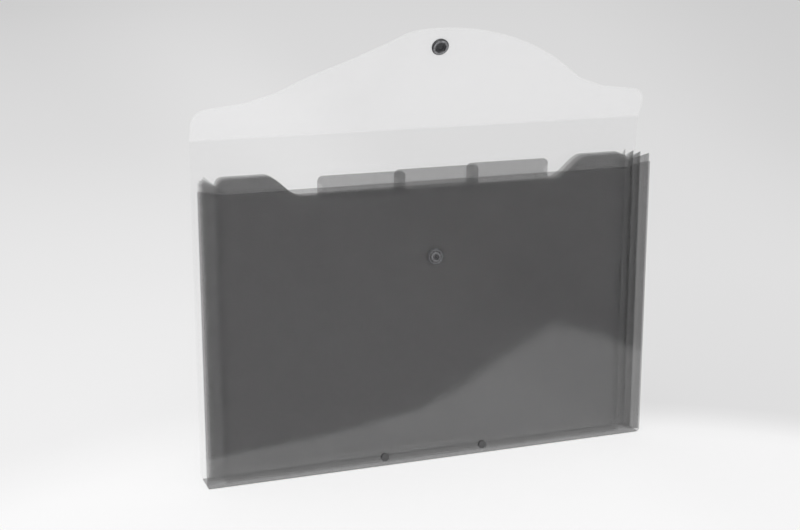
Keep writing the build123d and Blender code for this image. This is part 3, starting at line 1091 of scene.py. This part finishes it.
bore = [(0, STUD_BORE), (STUD_BORE_R, STUD_BORE), (STUD_BORE_R, 0)]
barrel_len = COVER_T + STUD_BORE - BARREL_PLAY
barrel = [(0, -barrel_len), (BARREL_R, -barrel_len), (BARREL_R, 0)]
socket_floor = SOCKET_T * SOCKET_SHARES[-1][1]
hole = [(SOCKET_HOLE_R, socket_floor), (SOCKET_HOLE_R, INSERT_T), (0, INSERT_T)]
short_barrel = [(0, -COVER_T), (BARREL_R, -COVER_T), (BARREL_R, 0)]
shank_len = COVER_T + SHEET_GAP + HEM_T + WASHER_T
shank = [(0, -shank_len), (SHANK_R, -shank_len), (SHANK_R, 0)]
washer_hole_r = SHANK_R + SHEET_GAP
ring = [
    (washer_hole_r, 0), (WASHER_R, 0), (WASHER_R, -WASHER_T), (washer_hole_r, -WASHER_T), (washer_hole_r, 0),
]

stud_face, stud_rear = (stud_at, front_out), (stud_cap_at, -front_out)
socket_face, socket_rear = (socket_at, leaf_out), (socket_cap_at, -leaf_out)
cap = sized(CAP_SHARES, CAP_R, CAP_T)

stud = turned("stud_head", bore + sized(STUD_SHARES, SNAP_R, STUD_H), stud_face, STUD_PLASTIC)
paint_ring_highlight(stud, stud_face, SNAP_R, STUD_RING_SHARES)
finish_piece(stud, "front", "snap_plastic", "snap_stud")
stud_cap = turned("stud_back_cap", barrel + cap, stud_rear, STUD_PLASTIC)
finish_piece(stud_cap, "front", "snap_plastic", "snap_stud_cap")
socket_profile = [(0, 0)] + sized(SOCKET_SHARES, SNAP_R, SOCKET_T) + hole
socket = turned("flap_socket", socket_profile, socket_face, STUD_PLASTIC)
paint_ring_highlight(socket, socket_face, SNAP_R, SOCKET_RING_SHARES)
finish_piece(socket, "flap_leaf", "snap_plastic", "snap_socket")
socket_cap = turned("socket_cap", short_barrel + cap, socket_rear, STUD_PLASTIC)
finish_piece(socket_cap, "flap_leaf", "snap_plastic", "snap_socket_cap")
head = shank + sized(HEAD_SHARES, RIVET_HEAD_R, RIVET_HEAD_T)
heads = turned("foot_rivets", head, (rivet_at, front_out), RIVET_PLASTIC, RIVET_PITCH, 2)
finish_piece(heads, "front", "rivet_plastic", "rivets")
washers = turned("foot_washers", ring, (washer_at, front_out), RIVET_PLASTIC, RIVET_PITCH, 2)
finish_piece(washers, "front", "rivet_plastic", "rivet_washers")

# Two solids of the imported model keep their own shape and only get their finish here
for node, material in (("front_hem", CLEAR), ("base_panel", FOOT)):
    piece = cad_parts[node]
    piece.data.materials.clear()
    piece.data.materials.append(material)


# Floor, light and camera

def painted_light_ramp(tree, stops, share):
    """A grey ramp of painted light over the distance from the middle of the table; share is that over its
    reach.
    """
    ramp = tree.nodes.new("ShaderNodeValToRGB")
    elements = ramp.color_ramp.elements
    elements[0].position, elements[1].position = 0.0, 1.0
    for distance, _ in stops[1:-1]:
        elements.new(distance / TABLE_REACH)
    for element, (distance, tone) in zip(elements, stops):
        element.position = distance / TABLE_REACH
        element.color = (tone, tone, tone, 1)
    tree.links.new(share, ramp.inputs["Fac"])
    return ramp.outputs["Color"]


def floor_material():
    """A pale table with painted light: white round the wallet, and a painted shade of light grey further off
    and on the right.

    The camera, and the sheets in their reflection and through them, see part of its tone directly as a glow,
    a painted light, so that the wallet's shade on it stays faint.
    """
    material = bpy.data.materials.new("pale_table")
    material.use_nodes = True
    tree = material.node_tree
    shader = tree.nodes["Principled BSDF"]
    shader.inputs["Roughness"].default_value = 0.9
    shader.inputs["Specular IOR Level"].default_value = 0.1
    plus, minus, times = arithmetic(tree)
    place = tree.nodes.new("ShaderNodeTexCoord")
    centre = tree.nodes.new("ShaderNodeMapping")
    centre.inputs["Location"].default_value = TABLE_CENTRE
    tree.links.new(place.outputs["Object"], centre.inputs["Vector"])
    length = tree.nodes.new("ShaderNodeVectorMath")
    length.operation = "LENGTH"
    tree.links.new(centre.outputs["Vector"], length.inputs[0])
    distance = length.outputs["Value"]
    share = maths(tree, "DIVIDE", distance, TABLE_REACH)
    apart = tree.nodes.new("ShaderNodeSeparateXYZ")
    tree.links.new(place.outputs["Object"], apart.inputs["Vector"])
    bearing = maths(tree, "ARCTAN2", apart.outputs["X"], plus(apart.outputs["Y"], 1.0))
    blend = tree.nodes.new("ShaderNodeMix")
    blend.data_type = "RGBA"
    tree.links.new(smooth_range(tree, bearing, 0.1, 0.21), blend.inputs["Factor"])
    tree.links.new(painted_light_ramp(tree, PAINTED_LIGHT_LEFT, share), blend.inputs["A"])
    tree.links.new(painted_light_ramp(tree, PAINTED_LIGHT_RIGHT, share), blend.inputs["B"])
    # Painted shade: darker further off, but for a band that runs away just right of the middle
    aside = smooth_range(tree, maths(tree, "ABSOLUTE", minus(bearing, 0.27)), 0.1, 0.27)
    fade = times(aside, smooth_range(tree, distance, 0.8, 2.2))
    keep = minus(1.0, times(fade, EDGE_FADE))
    tone = tree.nodes.new("ShaderNodeVectorMath")
    tone.operation = "SCALE"
    tree.links.new(blend.outputs["Result"], tone.inputs[0])
    tree.links.new(keep, tone.inputs["Scale"])
    tree.links.new(tone.outputs["Vector"], shader.inputs["Base Color"])

    # Painted glow: part of the tone shines for camera, glossy and transmission rays
    glow = tree.nodes.new("ShaderNodeEmission")
    tree.links.new(tone.outputs["Vector"], glow.inputs["Color"])
    path = tree.nodes.new("ShaderNodeLightPath")
    seen = maths(tree, "MAXIMUM", path.outputs["Is Camera Ray"], path.outputs["Is Glossy Ray"])
    seen = maths(tree, "MAXIMUM", seen, path.outputs["Is Transmission Ray"])
    both = tree.nodes.new("ShaderNodeMixShader")
    tree.links.new(times(seen, SEEN_SHARE), both.inputs["Fac"])
    tree.links.new(shader.outputs["BSDF"], both.inputs[1])
    tree.links.new(glow.outputs["Emission"], both.inputs[2])
    tree.links.new(both.outputs["Shader"], tree.nodes["Material Output"].inputs["Surface"])
    return material


def plane(name, corners, material):
    data = bpy.data.meshes.new(name)
    data.from_pydata(corners, [], [tuple(range(len(corners)))])
    data.materials.append(material)
    made = placed(name, data)
    return made


corners = [(x * TABLE_HALF, y * TABLE_HALF, 0) for x, y in ((-1, -1), (1, -1), (1, 1), (-1, 1))]
plane("table", corners, floor_material())

# A painted reflection: a dark sheet on the table, seen only in the sheets' reflection
dark = bpy.data.materials.new("painted_reflection_dark")
dark.use_nodes = True
dull = dark.node_tree.nodes["Principled BSDF"].inputs
dull["Base Color"].default_value = (0.01, 0.01, 0.01, 1)
dull["Roughness"].default_value = 1.0
dull["Specular IOR Level"].default_value = 0.0
# Only the sheets' reflection shows this dark sheet, a painted reflection; its edge is where the pale table
# begins in the front
edge_line = [
    (-0.40, -0.045), (-0.19, -0.058), (-0.15, -0.072), (-0.078, -0.085), (-0.026, -0.1), (0.03, -0.121),
    (0.084, -0.162), (0.149, -0.224), (0.203, -0.273), (0.248, -0.311), (0.275, -0.265), (0.287, -0.207),
    (0.5, -0.2), (3.0, -0.2), (3.0, -6.0), (-3.0, -6.0), (-3.0, -0.045),
]
reflection_flag = plane("painted_reflection_flag", [(x, y, 0.0005) for x, y in edge_line], dark)
reflection_flag.visible_camera = False
reflection_flag.visible_diffuse = False
reflection_flag.visible_shadow = False
reflection_flag.visible_transmission = False

world = bpy.data.worlds.new("studio")
bpy.context.scene.world = world
world.use_nodes = True
world.node_tree.nodes["Background"].inputs["Color"].default_value = (1, 1, 1, 1)
world.node_tree.nodes["Background"].inputs["Strength"].default_value = 0.79


def softbox(name, place, aim, size, power):
    data = bpy.data.lights.new(name, "AREA")
    data.shape = "SQUARE"
    data.size = size
    data.energy = power
    lamp = placed(name, data)
    lamp.location = place
    lamp.rotation_mode = "QUATERNION"
    lamp.rotation_quaternion = (Vector(aim) - Vector(place)).to_track_quat("-Z", "Y")
    return lamp


softbox("overhead_box", (-0.5, -0.3, 1.6), (0, 0, 0.05), 1.2, 6.5)
softbox("front_fill", (-0.2, -1.6, 0.5), (0, 0, 0.25), 1.0, 7.5)


camera_data = bpy.data.cameras.new("camera")
camera_data.sensor_width = SENSOR
camera_data.lens = SENSOR * FOCAL_SHARE
camera = placed("camera", camera_data)
away = Vector((math.sin(YAW) * math.cos(PITCH), -math.cos(YAW) * math.cos(PITCH), math.sin(PITCH)))
camera.location = TARGET + away * DISTANCE
camera.rotation_mode = "QUATERNION"
camera.rotation_quaternion = (-away).to_track_quat("-Z", "Y")
bpy.context.scene.camera = camera
bpy.context.scene.view_settings.view_transform = "Standard"
bpy.context.scene.cycles.transparent_max_bounces = 64
bpy.context.scene.cycles.use_adaptive_sampling = False
bpy.context.scene.cycles.denoising_input_passes = "RGB_ALBEDO"
